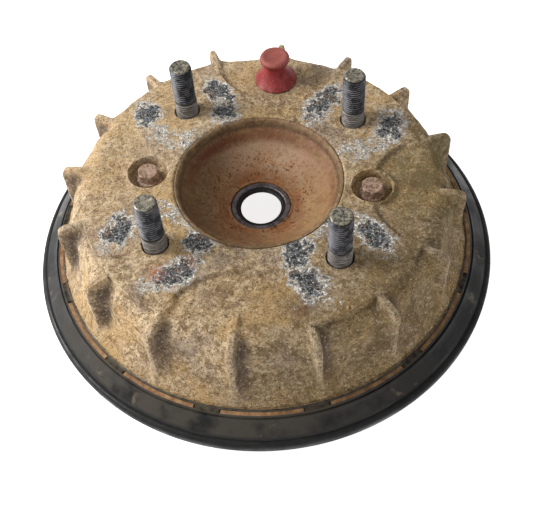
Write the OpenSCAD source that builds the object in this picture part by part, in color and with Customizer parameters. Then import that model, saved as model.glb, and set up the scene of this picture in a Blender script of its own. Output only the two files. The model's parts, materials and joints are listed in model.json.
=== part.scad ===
// Finned brake drum and hub assembly with its twin leading shoe brake.
// Z is the wheel axis. The knuckle mounting face lies on Z = 0 and the wheel
// studs point up. Heights written as "down" are measured from the stud pads.

/* [Drum] */
// Height of the stud pads above the knuckle mounting face
face_h = 60; // [60:0.1:60.6]
// Radius of the friction surface
friction_r = 75; // [75:0.1:75.4]
// Thickness of the cast iron liner
liner_t = 4; // [3.6:0.1:4]
// Radius of the drum barrel between the fins
barrel_r = 84.5; // [84.3:0.1:85]
// Radius of the flange that the water seal sits under
flange_r = 94.2; // [94:0.1:94.4]
// Radius over the fin tips
fin_r = 90.6; // [90:0.1:91]
// Thickness of one cooling fin
fin_t = 4; // [3.4:0.1:4.6]
// Number of cooling fins
fin_count = 16; // [12:4:20]
// Depth of the four recesses between the stud pads
recess_d = 1.8; // [1.2:0.1:2.4]
// Thickness of the drum face
drum_face_t = 9.5; // [9.5:0.1:9.8]

/* [Hub] */
// Pitch circle diameter of the wheel studs
stud_pcd = 110; // [110:0.1:110.4]
// Length of the studs above the pads
stud_h = 27.7; // [24:0.1:30]
// Diameter of the stud thread
stud_d = 10; // [9.6:0.1:10]
// Radius of the dish at its mouth
dish_r = 36.75; // [36.6:0.05:36.8]
// Thickness of the hub flange
hub_flange_t = 8; // [7.6:0.1:8]
// Pitch circle diameter of the two drum bolts
bolt_pcd = 100; // [99.6:0.1:100.4]

/* [Water seal] */
// Outer radius of the rubber seal ring
seal_r = 107.2; // [107:0.1:107.6]
// Number of windows that show the steel band
band_bars = 13; // [11:1:15]

/* [Backing plate] */
// Outer radius of the backing plate
plate_r = 100.3; // [100:0.1:100.6]
// Thickness of the plate
plate_t = 3; // [2.8:0.1:3]
// Pitch circle diameter of the knuckle bolts
knuckle_pcd = 102; // [101.6:0.1:102.4]

/* [Brake] */
// Clearance between lining and friction surface at rest
lining_gap = 0.8; // [0.8:0.05:1]
// Width of the brake shoes
shoe_w = 20; // [18:0.5:20]
// Radius of the wheel cylinder bores
bore_r = 8; // [7.9:0.05:8]

/* [Hidden] */
$fn = 96;

eps = 0.05;
liner_r = friction_r + liner_t;
open_h = face_h - 46;          // open edge of the drum
liner_top_h = face_h - 21;
shelf_h = face_h - 35.4;       // underside of the drum flange
skirt_r = 92.8;                // outside of the skirt below the flange
skirt_in_r = 89;
barrel_low_r = liner_r + 4.5;  // outside of the barrel inside the skirt
drum_bore_r = 37.6;
pad_r = 78.5;                  // outer edge of the stud pads
recess_r = 31;                 // each recess is part of this circle
recess_at = 80.5;              // and this far from the axis
bolt_boss_r = 10;
counterbore_r = 8.75;
counterbore_d = 5.2;
plug_y = 64.5;                 // inspection hole, over the adjusters
plug_hole_r = 6.4;

dish_c = 22.3;                 // centre of the dish sphere above the pads
dish_R = sqrt(dish_r * dish_r + (dish_c + 1.2) * (dish_c + 1.2));
dish_t = 3.5;
seal_seat_r = 13.8;
neck_r = 35;
neck_in_r = 31.5;
neck_h = face_h - 47;
hub_top_h = face_h - drum_face_t;
hub_low_h = hub_top_h - hub_flange_t;
shoulder_r = 5.4;              // plain part of a stud at the drum face
stud_hole_r = 5.7;

band_in_r = 95;
band_out_r = 96.7;
band_top_h = face_h - 36.2;
band_mid_h = face_h - 38.6;
band_low_h = face_h - 41;
gap_w = 11.7;                  // rubber bridge between two windows

plate_top_h = face_h - 47;
plate_low_h = plate_top_h - plate_t;
collar_r = 44;
seal_bore_r = 41;
ring_in_r = 42;
ring_out_r = 46;
knuckle_hole_r = 4.2;

cyl_y = 58;                    // wheel cylinder axis from the wheel axis
cyl_h = face_h - 33.5;         // height of the cylinder axes and the shoe webs
cyl_r = 11;
cyl_half = 17;
web_t = 4;
web_in_r = 54;
table_in_r = 68;
table_r = friction_r - lining_gap - 4.5;
pivot_x = 24.7;                // where a shoe rests on its adjuster screw
finger_x = 18.4;               // where a shoe meets its piston
pin_at = 60.5;                 // hold down pins from the wheel axis
pin_r = 1.5;
port_h = face_h - 54.5;        // pipe ports behind the plate
pipe_r = 2.4;
port_y = 64.5;
bolt_spots = [[-12.5, 51], [11, 65.5]];
spring_y = 43.5;
spring_h = face_h - 28;
spring_hook_x = sqrt(61 * 61 - spring_y * spring_y);

// Points on an arc round c, from angle a0 to a1
function arc(c, r, a0, a1, n = 8) =
    [for (i = [0 : n]) c + r * [cos(a0 + (a1 - a0) * i / n), sin(a0 + (a1 - a0) * i / n)]];

// A tube swept along a list of points, with a frame that keeps to the normal up
module sweep(path, r, sides = 6, up = [0, 0, 1]) {
    n = len(path);
    rings = [for (i = [0 : n - 1])
        let (d0 = path[min(i + 1, n - 1)] - path[max(i - 1, 0)])
        let (d = d0 / norm(d0))
        let (s0 = cross(d, up))
        let (s = norm(s0) < 0.01 ? cross(d, [0.3, 1, 0.1]) : s0)
        let (u = s / norm(s))
        let (v = cross(u, d))
        [for (k = [0 : sides - 1])
            path[i] + r * (cos(360 * k / sides) * u + sin(360 * k / sides) * v)]];
    points = [for (ring = rings) each ring];
    walls = [for (i = [0 : n - 2], k = [0 : sides - 1])
        [i * sides + k, i * sides + (k + 1) % sides,
         (i + 1) * sides + (k + 1) % sides, (i + 1) * sides + k]];
    caps = [[for (k = [sides - 1 : -1 : 0]) k],
            [for (k = [0 : sides - 1]) (n - 1) * sides + k]];
    polyhedron(points, concat(walls, caps), convexity = 10);
}

// A rod along X, from x0 to x1, on the axis of the cylinder at side s
module x_rod(s, r, x0, x1) {
    translate([min(x0, x1), s * cyl_y, cyl_h])
        rotate([0, 90, 0])
            cylinder(r = r, h = abs(x1 - x0));
}

module at_studs() {
    for (a = [45 : 90 : 315])
        rotate([0, 0, a])
            translate([stud_pcd / 2, 0, 0])
                children();
}

module at_drum_bolts() {
    for (side = [-1, 1])
        translate([side * bolt_pcd / 2, 0, 0])
            children();
}

// ---- Rotating pieces ----

module drum_casting() {
    top = face_h - recess_d;
    round_r = 10;
    corner = [barrel_r - round_r, top - round_r];
    flare_h = top - round_r;
    flare_low_h = face_h - 33.6;
    flare = [for (i = [1 : 6]) let (t = i / 6)
        [barrel_r + (flange_r - barrel_r) * t * t, flare_h + (flare_low_h - flare_h) * t]];
    rotate_extrude()
        polygon(concat(
            [[drum_bore_r, hub_top_h], [drum_bore_r, top]],
            arc(corner, round_r, 90, 0),
            flare,
            [[flange_r, shelf_h], [skirt_r, shelf_h], [skirt_r, open_h], [skirt_in_r, open_h],
             [skirt_in_r, face_h - 39], [barrel_low_r, face_h - 39], [barrel_low_r, open_h],
             [liner_r, open_h], [liner_r, liner_top_h], [76.5, liner_top_h],
             [76.5, face_h - 12], [74, hub_top_h]]));
}

module fin() {
    top = face_h - 0.4;
    tip_r = 3;
    rotate([90, 0, 0])
        linear_extrude(height = fin_t, center = true)
            polygon(concat(
                [[75, face_h - 6], [76, top]],
                arc([fin_r - tip_r, top - tip_r], tip_r, 90, 0),
                [[fin_r, face_h - 26], [92, face_h - 30], [flange_r - 0.2, face_h - 33.6],
                 [flange_r - 0.2, face_h - 35], [80, face_h - 35], [80, face_h - 12]]));
}

module stud_pads() {
    translate([0, 0, face_h - 5])
        linear_extrude(height = 5)
            union() {
                difference() {
                    circle(r = pad_r);
                    circle(r = drum_bore_r);
                    for (a = [0 : 90 : 270])
                        rotate(a)
                            translate([recess_at, 0])
                                circle(r = recess_r);
                }
                at_drum_bolts() circle(r = bolt_boss_r);
            }
}

module brake_drum() {
    color([0.62, 0.53, 0.39])
        difference() {
            union() {
                drum_casting();
                stud_pads();
                for (i = [0 : fin_count - 1])
                    rotate([0, 0, 360 * i / fin_count])
                        fin();
            }
            at_studs()
                translate([0, 0, hub_top_h - 1])
                    cylinder(r = stud_hole_r, h = 20);
            at_drum_bolts() {
                translate([0, 0, face_h - counterbore_d])
                    cylinder(r = counterbore_r, h = 20);
                translate([0, 0, hub_top_h - 1])
                    cylinder(r = 3.2, h = 20);
            }
            translate([0, plug_y, hub_top_h - 1])
                cylinder(r = plug_hole_r, h = 20);
        }
}

module drum_liner() {
    color([0.35, 0.34, 0.33])
        translate([0, 0, open_h])
            difference() {
                cylinder(r = liner_r, h = liner_top_h - open_h, $fn = 180);
                translate([0, 0, -1])
                    cylinder(r = friction_r, h = 40, $fn = 180);
            }
}

module wheel_hub() {
    c = [0, face_h + dish_c];
    mouth_a = -acos(dish_r / dish_R);
    seat_a = -acos(seal_seat_r / dish_R);
    under_R = dish_R + dish_t;
    under_a0 = -acos(18 / under_R);
    under_a1 = -asin((dish_c + drum_face_t + hub_flange_t) / under_R);
    color([0.52, 0.33, 0.20])
        difference() {
            union() {
                translate([0, 0, hub_low_h])
                    linear_extrude(height = hub_flange_t)
                        difference() {
                            union() {
                                circle(r = 50.5);
                                at_studs() circle(r = 11.5);
                                at_drum_bolts() circle(r = 9);
                            }
                            circle(r = 37);
                        }
                rotate_extrude()
                    polygon(concat(
                        arc(c, dish_R, mouth_a, seat_a, 24),
                        [[seal_seat_r, face_h - 23.2], [18, face_h - 23.2]],
                        arc(c, under_R, under_a0, under_a1, 4),
                        [[neck_in_r, hub_low_h], [neck_in_r, neck_h],
                         [neck_r, neck_h], [neck_r, hub_low_h], [37.5, hub_low_h],
                         [37.5, face_h - 0.9], [37, face_h - 0.8]]));
            }
            at_studs()
                translate([0, 0, hub_low_h - 1])
                    cylinder(r = shoulder_r, h = 20);
            at_drum_bolts()
                translate([0, 0, hub_low_h - 1])
                    cylinder(r = 3, h = 20);
        }
}

module wheel_studs() {
    color([0.30, 0.30, 0.31])
        at_studs() {
            translate([0, 0, hub_low_h - 4])
                cylinder(r = 8, h = 4);
            translate([0, 0, hub_low_h - eps])
                cylinder(r = shoulder_r, h = face_h + 7.5 - hub_low_h + eps);
            translate([0, 0, face_h + 7])
                cylinder(r = stud_d / 2, h = stud_h - 8);
            translate([0, 0, face_h + stud_h - 1 - eps])
                cylinder(r1 = stud_d / 2, r2 = stud_d / 2 - 1, h = 1 + eps, $fn = 48);
        }
}

module drum_bolts() {
    seat = face_h - counterbore_d;
    color([0.55, 0.36, 0.27])
        at_drum_bolts() {
            translate([0, 0, seat])
                cylinder(r1 = 6.4, r2 = 5.6, h = 1.8, $fn = 48);
            translate([0, 0, seat + 1])
                cylinder(r = 5.3, h = 5, $fn = 6);
            translate([0, 0, hub_low_h + 0.5])
                cylinder(r = 2.95, h = seat - hub_low_h);
        }
}

module hub_seal_case() {
    color([0.30, 0.31, 0.34])
        rotate_extrude()
            polygon([[seal_seat_r, face_h - 22.6], [seal_seat_r, face_h - 19.6],
                     [13.3, face_h - 19.1], [11.7, face_h - 19.1], [11.25, face_h - 19.5],
                     [11.25, face_h - 22.6]]);
}

module hub_seal_lip() {
    color([0.06, 0.06, 0.06])
        rotate_extrude()
            polygon([[11.25, face_h - 19.8], [10.2, face_h - 19.9], [9.25, face_h - 20.6],
                     [9.35, face_h - 21.1], [10.4, face_h - 20.9], [11.25, face_h - 21.6]]);
}

// The band: a hoop with upright bars that fill the windows in the rubber
module band_shape(bar_top_h) {
    width = band_out_r - band_in_r;
    difference() {
        rotate_extrude($fn = 180)
            translate([band_in_r, band_low_h])
                square([width, bar_top_h - band_low_h]);
        for (i = [0 : band_bars - 1])
            rotate([0, 0, 360 * (i + 0.5) / band_bars])
                translate([band_in_r - 1, -gap_w / 2, band_mid_h])
                    cube([width + 2, gap_w, bar_top_h]);
    }
}

module seal_band() {
    color([0.60, 0.40, 0.22]) band_shape(band_top_h);
}

module drum_seal_ring() {
    edge_r = 2.2;
    top_h = face_h - 35.6;
    color([0.12, 0.12, 0.13])
        difference() {
            rotate_extrude($fn = 180)
                polygon(concat(
                    [[skirt_r, top_h], [94.6, top_h], [94.9, face_h - 36],
                     [97, face_h - 36.4], [97.5, face_h - 37.1], [98.3, face_h - 37],
                     [98.8, face_h - 37.8], [104.4, face_h - 42.9], [104.8, face_h - 43.7]],
                    arc([seal_r - edge_r, face_h - 45.9], edge_r, 75, 0, 5),
                    [[seal_r - 0.2, face_h - 48.2], [105.8, face_h - 49.6],
                     [104.2, face_h - 49.6], [103.6, face_h - 48], [102.5, face_h - 45.2],
                     [97.6, face_h - 41.2], [97.4, face_h - 43.5], [96.6, face_h - 45],
                     [93.4, face_h - 45], [skirt_r, face_h - 44.4]]));
            band_shape(face_h - 30);
        }
}

module inspection_plug() {
    base = face_h - recess_d;
    color([0.55, 0.13, 0.12])
        translate([0, plug_y, 0])
            rotate_extrude($fn = 64)
                polygon(concat(
                    [[0, face_h - 12], [5.6, face_h - 12], [plug_hole_r - eps, face_h - 11.2],
                     [plug_hole_r - eps, base], [10.2, base], [10.2, base + 0.7]],
                    [for (i = [0 : 6]) let (t = i / 6)
                        [9.6 - 4.8 * sin(90 * t), base + 1.2 + 7.6 * t]],
                    arc([5.3, base + 13.1], 1.8, -60, 90, 7),
                    [[0, base + 14.9]]));
}

// ---- Backing plate ----

module backing_plate() {
    color([0.42, 0.42, 0.40])
        difference() {
            union() {
                rotate_extrude($fn = 180)
                    polygon([[seal_bore_r, plate_low_h], [plate_r, plate_low_h],
                             [plate_r, face_h - 45.2], [plate_r - 2, face_h - 45.2],
                             [plate_r - 2, plate_top_h], [87.2, plate_top_h],
                             [87.2, face_h - 41], [85.4, face_h - 41],
                             [85.4, plate_top_h], [collar_r, plate_top_h],
                             [collar_r, face_h - 41], [seal_bore_r, face_h - 41]]);
                difference() {
                    union() {
                        cylinder(r = ring_out_r, h = plate_low_h + eps);
                        for (a = [45 : 90 : 315])
                            rotate([0, 0, a])
                                translate([knuckle_pcd / 2, 0, 0])
                                    cylinder(r = 8, h = plate_low_h + eps);
                    }
                    translate([0, 0, -1])
                        cylinder(r = ring_in_r, h = plate_low_h + 1);
                }
                for (a = [-36, 36, 144, 216, 9, 189])
                    rotate([0, 0, a])
                        translate([69.5, 0, plate_low_h + 1])
                            cylinder(r = 4, h = face_h - 44.7 - plate_low_h - 1, $fn = 48);
            }
            translate([0, 0, -1])
                cylinder(r = seal_bore_r, h = 40);
            for (a = [45 : 90 : 315])
                rotate([0, 0, a])
                    translate([knuckle_pcd / 2, 0, -1])
                        cylinder(r = knuckle_hole_r, h = 40);
            for (s = [-1, 1]) {
                for (b = bolt_spots)
                    translate([b[0], s * b[1], 5])
                        cylinder(r = 3.2, h = 20, $fn = 48);
                translate([s * pin_at, 0, 5])
                    cylinder(r = pin_r + 0.2, h = 20, $fn = 48);
                translate([-10.3, s * port_y - 4.3, plate_low_h - 1])
                    cube([16.6, 8.6, plate_t + 2]);
            }
            translate([-3, 54, 5])
                cylinder(r = 5.2, h = 20);
            translate([3, -54, 5])
                cylinder(r = 7.2, h = 20);
        }
}

module plate_dust_seal() {
    low = face_h - 46.5;
    color([0.10, 0.10, 0.10])
        rotate_extrude($fn = 128)
            polygon([[seal_bore_r, low], [seal_bore_r, low + 5], [37.4, low + 5],
                     [neck_r + 0.08, low + 3.4], [neck_r + 0.08, low + 2.4],
                     [36.6, low + 2], [36.6, low]]);
}

// s is 1 for the cylinder at +Y and -1 for the one at -Y; its piston points to s * X
module wheel_cylinder(s) {
    block_x0 = s > 0 ? -10 : -8;
    block_x1 = s > 0 ? 3 : 6;
    inner_r = s > 0 ? 5 : 7;
    color([0.46, 0.42, 0.38])
        difference() {
            union() {
                x_rod(s, cyl_r, -cyl_half, cyl_half);
                translate([-16, s > 0 ? 47.5 : -68.5, plate_top_h])
                    cube([32, 21, 11]);
                translate([block_x0, s * port_y - 4, face_h - 58.5])
                    cube([block_x1 - block_x0, 8, 12.5]);
                translate([-3 * s, 54 * s, face_h - 53])
                    cylinder(r = inner_r, h = 7);
            }
            x_rod(s, bore_r, s * (cyl_half + 1), -6 * s);
            x_rod(s, 5, -s * (cyl_half + 1), -9 * s);
            for (b = bolt_spots)
                translate([b[0], s * b[1], plate_top_h - 1])
                    cylinder(r = 3, h = 8, $fn = 48);
            translate([block_x0 - 1, s * port_y, port_h])
                rotate([0, 90, 0])
                    cylinder(r = 3.5, h = 1 - 3 * s - block_x0, $fn = 48);
            translate([-3 * s, s * (port_y - 1.5), port_h])
                cylinder(r = 1.5, h = cyl_h - port_h, $fn = 32);
            translate([-3 * s, 54 * s, face_h - 54])
                cylinder(r = s > 0 ? 3.5 : 4.5, h = 10);
            translate([-3 * s, 54 * s, face_h - 50])
                cylinder(r = 1.5, h = cyl_h - face_h + 50, $fn = 32);
        }
}
module top_wheel_cylinder() { wheel_cylinder(1); }
module bottom_wheel_cylinder() { wheel_cylinder(-1); }

module cylinder_bolts() {
    color([0.55, 0.54, 0.50])
        for (s = [-1, 1], b = bolt_spots)
            translate([b[0], s * b[1], 0]) {
                translate([0, 0, plate_low_h - 1.2])
                    cylinder(r = 5, h = 1.2, $fn = 48);
                translate([0, 0, plate_low_h - 5.2])
                    cylinder(r = 4.6, h = 4.1, $fn = 6);
                translate([0, 0, plate_low_h - 2])
                    cylinder(r = 2.95, h = plate_t + 8, $fn = 48);
            }
}

module bridge_pipe() {
    start_x = 16;
    bend_r = norm([start_x, port_y]);
    start_a = atan2(port_y, -start_x);
    color([0.45, 0.46, 0.42])
        union() {
            translate([0, 0, port_h])
                rotate([0, 0, start_a])
                    rotate_extrude(angle = 360 - 2 * start_a, $fn = 128)
                        translate([bend_r, 0])
                            circle(r = pipe_r, $fn = 32);
            for (s = [-1, 1])
                translate([-start_x - 0.3, s * port_y, port_h])
                    rotate([0, 90, 0])
                        cylinder(r = pipe_r, h = s > 0 ? 5.5 : 7.5, $fn = 32);
        }
}

module pipe_nuts() {
    color([0.62, 0.55, 0.30])
        for (s = [-1, 1]) {
            block_x = s > 0 ? -10 : -8;
            translate([block_x, s * port_y, port_h])
                rotate([0, -90, 0])
                    difference() {
                        union() {
                            rotate(30) cylinder(r = 4.9, h = 5, $fn = 6);
                            translate([0, 0, -4])
                                cylinder(r = 3.45, h = 5, $fn = 48);
                        }
                        translate([0, 0, -5])
                            cylinder(r = pipe_r, h = 20, $fn = 32);
                    }
        }
}

module hold_down_pins() {
    color([0.60, 0.60, 0.58])
        for (s = [-1, 1])
            translate([s * pin_at, 0, 0]) {
                translate([0, 0, plate_low_h - 1.4])
                    cylinder(r = 3.5, h = 1.4, $fn = 48);
                translate([0, 0, plate_low_h - 0.5])
                    cylinder(r = pin_r, h = face_h - 24 - plate_low_h, $fn = 48);
                translate([-3, -1.4, face_h - 24.8])
                    cube([6, 2.8, 1.2]);
            }
}

module hold_down_springs() {
    turns = 3.5;
    low = cyl_h + web_t / 2 + 0.9;
    rise = face_h - 27.2 - low;
    color([0.50, 0.50, 0.52])
        for (s = [-1, 1])
            translate([s * pin_at, 0, 0])
                sweep([for (i = [0 : 12 * turns])
                    [4.4 * cos(30 * i), 4.4 * sin(30 * i), low + rise * i / (12 * turns)]],
                    0.55, 6);
}

module hold_down_cups() {
    top = face_h - 24.9;
    color([0.58, 0.55, 0.45])
        for (s = [-1, 1])
            translate([s * pin_at, 0, 0])
                rotate_extrude($fn = 64)
                    polygon([[pin_r + 0.15, top - 1.2], [pin_r + 0.15, top], [5.2, top],
                             [6, top - 0.8], [6, top - 3.4], [5.2, top - 3.4],
                             [5.2, top - 1.2]]);
}

module bleed_screw() {
    color([0.66, 0.60, 0.36])
        translate([-3, 54, 0])
            difference() {
                union() {
                    translate([0, 0, face_h - 53.1])
                        cylinder(r = 3.45, h = 8.1, $fn = 64);
                    translate([0, 0, face_h - 56.2])
                        cylinder(r = 4.5, h = 3.2, $fn = 6);
                    translate([0, 0, face_h - 58.8])
                        cylinder(r = 2.2, h = 3, $fn = 48);
                }
                translate([0, 0, face_h - 59])
                    cylinder(r = 0.9, h = 12, $fn = 32);
            }
}

module bleed_cap() {
    color([0.08, 0.08, 0.08])
        translate([-3, 54, 0])
            difference() {
                translate([0, 0, face_h - 59.7])
                    cylinder(r = 3.6, h = 3.4, $fn = 48);
                translate([0, 0, face_h - 58.85])
                    cylinder(r = 2.25, h = 4, $fn = 48);
            }
}

// ---- Shoes ----

// A flat ring piece between radii r0 and r1, within angles -a and +a
module ring_piece(r0, r1, a) {
    difference() {
        circle(r = r1, $fn = 180);
        circle(r = r0, $fn = 180);
        polygon([[0, 0], 200 * [cos(a), sin(a)], [-200, 200], [-200, -200],
                 200 * [cos(a), -sin(a)]]);
    }
}

module shoe() {
    color([0.33, 0.29, 0.25])
        union() {
            translate([0, 0, cyl_h - web_t / 2])
                linear_extrude(height = web_t)
                    difference() {
                        union() {
                            intersection() {
                                difference() {
                                    circle(r = table_in_r + 0.2);
                                    circle(r = web_in_r);
                                }
                                translate([pivot_x, -80])
                                    square([80, 160]);
                            }
                            translate([finger_x, cyl_y - 5.4])
                                square([10, 10.4]);
                        }
                        translate([pin_at, 0]) circle(r = 3);
                        for (s = [-1, 1])
                            translate([spring_hook_x, s * spring_y]) circle(r = 2.1);
                    }
            translate([0, 0, cyl_h - shoe_w / 2])
                linear_extrude(height = shoe_w)
                    ring_piece(table_in_r, table_r, 52);
        }
}

module lining() {
    color([0.20, 0.17, 0.15])
        translate([0, 0, cyl_h - shoe_w / 2])
            linear_extrude(height = shoe_w)
                ring_piece(table_r, friction_r - lining_gap, 48);
}

module right_shoe() { shoe(); }
module right_lining() { lining(); }
module left_shoe() { rotate([0, 0, 180]) shoe(); }
module left_lining() { rotate([0, 0, 180]) lining(); }

// A coil along X with a straight leg at each end, hooked down through the shoe webs
module return_spring(s) {
    turns = 20;
    half = 17;
    coil_r = 2.3;
    wire_r = 0.7;
    leg_h = spring_h - coil_r;
    hook_low_h = cyl_h - web_t / 2 - 1.6;
    color([0.52, 0.52, 0.50]) {
        sweep([for (i = [0 : 8 * turns])
            [-half + 2 * half * i / (8 * turns), s * spring_y + coil_r * sin(45 * i),
             spring_h - coil_r * cos(45 * i)]], wire_r, 6, [1, 0.02, 0]);
        for (side = [-1, 1])
            translate([side * spring_hook_x, s * spring_y, 0]) {
                translate([0, 0, hook_low_h])
                    cylinder(r = wire_r, h = leg_h - hook_low_h, $fn = 24);
                translate([0, 0, leg_h])
                    rotate([0, -90 * side, 0])
                        cylinder(r = wire_r, h = spring_hook_x - half + 0.3, $fn = 24);
                translate([0, 0, leg_h])
                    sphere(r = wire_r, $fn = 24);
            }
    }
}
module top_return_spring() { return_spring(1); }
module bottom_return_spring() { return_spring(-1); }

// ---- Inside the wheel cylinders ----

module piston(s) {
    color([0.70, 0.70, 0.72])
        difference() {
            union() {
                x_rod(s, bore_r - eps, 3.5 * s, 15 * s);
                x_rod(s, 6.4, 14 * s, 22 * s);
            }
            translate([s > 0 ? 18 : -23, s * cyl_y - 10, cyl_h - web_t / 2 - 0.2])
                cube([5, 20, web_t + 0.4]);
        }
}
module top_piston() { piston(1); }
module bottom_piston() { piston(-1); }

module piston_cup(s) {
    color([0.07, 0.07, 0.07])
        difference() {
            x_rod(s, bore_r - eps, -0.5 * s, 3.5 * s);
            x_rod(s, bore_r - 1.6, -1.5 * s, 1.4 * s);
        }
}
module top_piston_cup() { piston_cup(1); }
module bottom_piston_cup() { piston_cup(-1); }

module cup_spring(s) {
    turns = 3;
    color([0.55, 0.55, 0.57])
        sweep([for (i = [0 : 12 * turns])
            [s * (-5.4 + 4.2 * i / (12 * turns)), s * cyl_y + 4.6 * cos(30 * i),
             cyl_h + 4.6 * sin(30 * i)]], 0.4, 6, [1, 0.02, 0]);
}
module top_cup_spring() { cup_spring(1); }
module bottom_cup_spring() { cup_spring(-1); }

module boot(s) {
    color([0.09, 0.09, 0.09])
        difference() {
            union() {
                x_rod(s, 10.6, 17 * s, 18.6 * s);
                x_rod(s, 9.2, 18.6 * s, 19.6 * s);
                x_rod(s, 8.2, 19.6 * s, 20.8 * s);
            }
            x_rod(s, 6.9, 16 * s, 22 * s);
        }
}
module top_boot() { boot(1); }
module bottom_boot() { boot(-1); }

module adjuster_wheel(s) {
    teeth = 16;
    wheel_r = 9;
    color([0.62, 0.60, 0.55])
        difference() {
            union() {
                x_rod(s, wheel_r, -17.3 * s, -20.8 * s);
                x_rod(s, 4.95, -10 * s, -18 * s);
            }
            x_rod(s, 3.05, -9 * s, -22 * s);
            for (i = [0 : teeth - 1])
                translate([-16 * s, s * cyl_y, cyl_h])
                    rotate([360 * i / teeth, 0, 0])
                        translate([-8 * s, 0, wheel_r + 0.2])
                            rotate([0, 90, 0])
                                cylinder(r = 1.1, h = 16, center = true, $fn = 24);
        }
}
module top_adjuster_wheel() { adjuster_wheel(1); }
module bottom_adjuster_wheel() { adjuster_wheel(-1); }

module adjuster_screw(s) {
    color([0.64, 0.63, 0.60])
        difference() {
            union() {
                x_rod(s, 3, -12 * s, -23 * s);
                x_rod(s, 5, -22.5 * s, -28 * s);
            }
            translate([s > 0 ? -29.5 : 24.5, s * cyl_y - 8, cyl_h - web_t / 2 - 0.2])
                cube([5, 16, web_t + 0.4]);
        }
}
module top_adjuster_screw() { adjuster_screw(1); }
module bottom_adjuster_screw() { adjuster_screw(-1); }

brake_drum();
drum_liner();
wheel_hub();
wheel_studs();
drum_bolts();
hub_seal_case();
hub_seal_lip();
drum_seal_ring();
seal_band();
inspection_plug();
backing_plate();
plate_dust_seal();
top_wheel_cylinder();
bottom_wheel_cylinder();
cylinder_bolts();
bridge_pipe();
pipe_nuts();
hold_down_pins();
hold_down_springs();
hold_down_cups();
bleed_screw();
bleed_cap();
right_shoe();
right_lining();
left_shoe();
left_lining();
top_return_spring();
bottom_return_spring();
top_piston();
bottom_piston();
top_piston_cup();
bottom_piston_cup();
top_cup_spring();
bottom_cup_spring();
top_boot();
bottom_boot();
top_adjuster_wheel();
bottom_adjuster_wheel();
top_adjuster_screw();
bottom_adjuster_screw();
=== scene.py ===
# %% [markdown]
# A used brake drum on its hub, seen from the wheel side. CAD gave every piece its place and size.
# This lesson gives the pieces that show their cast, rusty, worn and muddy surfaces. A finished
# frame is loaded first, so that each new piece can be laid exactly over the plain one.

# %% Load the frame
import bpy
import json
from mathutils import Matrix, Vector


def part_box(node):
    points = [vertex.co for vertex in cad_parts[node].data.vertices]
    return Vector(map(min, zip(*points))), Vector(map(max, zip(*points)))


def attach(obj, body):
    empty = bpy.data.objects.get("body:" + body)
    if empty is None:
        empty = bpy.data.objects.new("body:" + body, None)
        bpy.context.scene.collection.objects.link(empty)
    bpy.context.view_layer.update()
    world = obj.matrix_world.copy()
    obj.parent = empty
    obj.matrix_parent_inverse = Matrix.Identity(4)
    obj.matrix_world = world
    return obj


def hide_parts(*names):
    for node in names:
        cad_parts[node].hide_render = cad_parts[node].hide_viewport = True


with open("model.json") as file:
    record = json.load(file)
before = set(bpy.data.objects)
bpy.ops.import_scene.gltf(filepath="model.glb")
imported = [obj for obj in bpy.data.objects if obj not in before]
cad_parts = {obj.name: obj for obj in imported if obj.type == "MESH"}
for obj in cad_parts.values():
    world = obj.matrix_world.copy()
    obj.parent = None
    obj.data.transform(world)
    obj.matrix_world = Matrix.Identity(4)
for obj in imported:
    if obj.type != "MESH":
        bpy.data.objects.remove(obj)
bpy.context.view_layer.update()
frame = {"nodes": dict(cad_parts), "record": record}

# %% [markdown]
# Lengths are easier to read in millimetres, with heights counted from the four stud pads, because
# that is the plane where the wheel sits. What lies below it has a height under 0. Each outline is
# written that way, and one function carries it into the frame, which is in metres.

# %% The stud pads as the zero height
import json
import math
import bmesh
import bpy
import numpy as np
from mathutils import Quaternion, Vector, noise

MM = 0.001
pad_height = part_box("brake_drum")[1].z


def into_frame(points):
    """Millimetres from the stud pads become metres in the frame."""
    return np.asarray(points, float) * MM + np.array([0.0, 0.0, pad_height])


print("stud pads at", round(pad_height / MM, 1), "mm")

# %% [markdown]
# Nearly everything here is round, so one mesh maker does most of the work: it takes rows of points,
# each row going once round, and stitches each row to the next. A modifier such as Screw would
# also turn an outline, but rows of points let the fins, lobes and threads change the
# outline on the way round.

# %% Stitch rows of points into a closed mesh
def stitch(name, rows, joined=True):
    """A closed mesh from rows (row, place, xyz). The last row meets the first, or both get a cap."""
    count, around = rows.shape[:2]
    index = np.arange(count * around).reshape(count, around)
    below = np.roll(index, -1, axis=0)
    if not joined:
        index, below = index[:-1], below[:-1]
    quads = np.stack([index, np.roll(index, -1, 1), np.roll(below, -1, 1), below], -1)
    faces = quads.reshape(-1, 4).tolist()
    if not joined:
        faces.append(list(range(around)))
        faces.append(list(range((count - 1) * around, count * around)))
    mesh = bpy.data.meshes.new(name)
    mesh.from_pydata(into_frame(rows.reshape(-1, 3)).tolist(), [], faces)
    return mesh


def face_outwards(mesh):
    """Turns every face to look out of the solid."""
    work = bmesh.new()
    work.from_mesh(mesh)
    bmesh.ops.recalc_face_normals(work, faces=work.faces)
    work.to_mesh(mesh)
    work.free()


def show(name, data):
    """A new object in the scene that holds a mesh, a light or a camera."""
    holder = bpy.data.objects.new(name, data)
    bpy.context.scene.collection.objects.link(holder)
    return holder


def lay_down(mesh, sharp=40):
    """Puts a mesh in the scene, smooth except where it turns by more than the sharp angle."""
    face_outwards(mesh)
    mesh.shade_smooth()
    mesh.set_sharp_from_angle(angle=math.radians(sharp))
    print(mesh.name, len(mesh.polygons), "faces")
    return show(mesh.name, mesh)


# %% Turn an outline round the wheel axis
def round_angles(around):
    """Equal steps once round, in radians."""
    return np.arange(around) * 2 * math.pi / around


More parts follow.
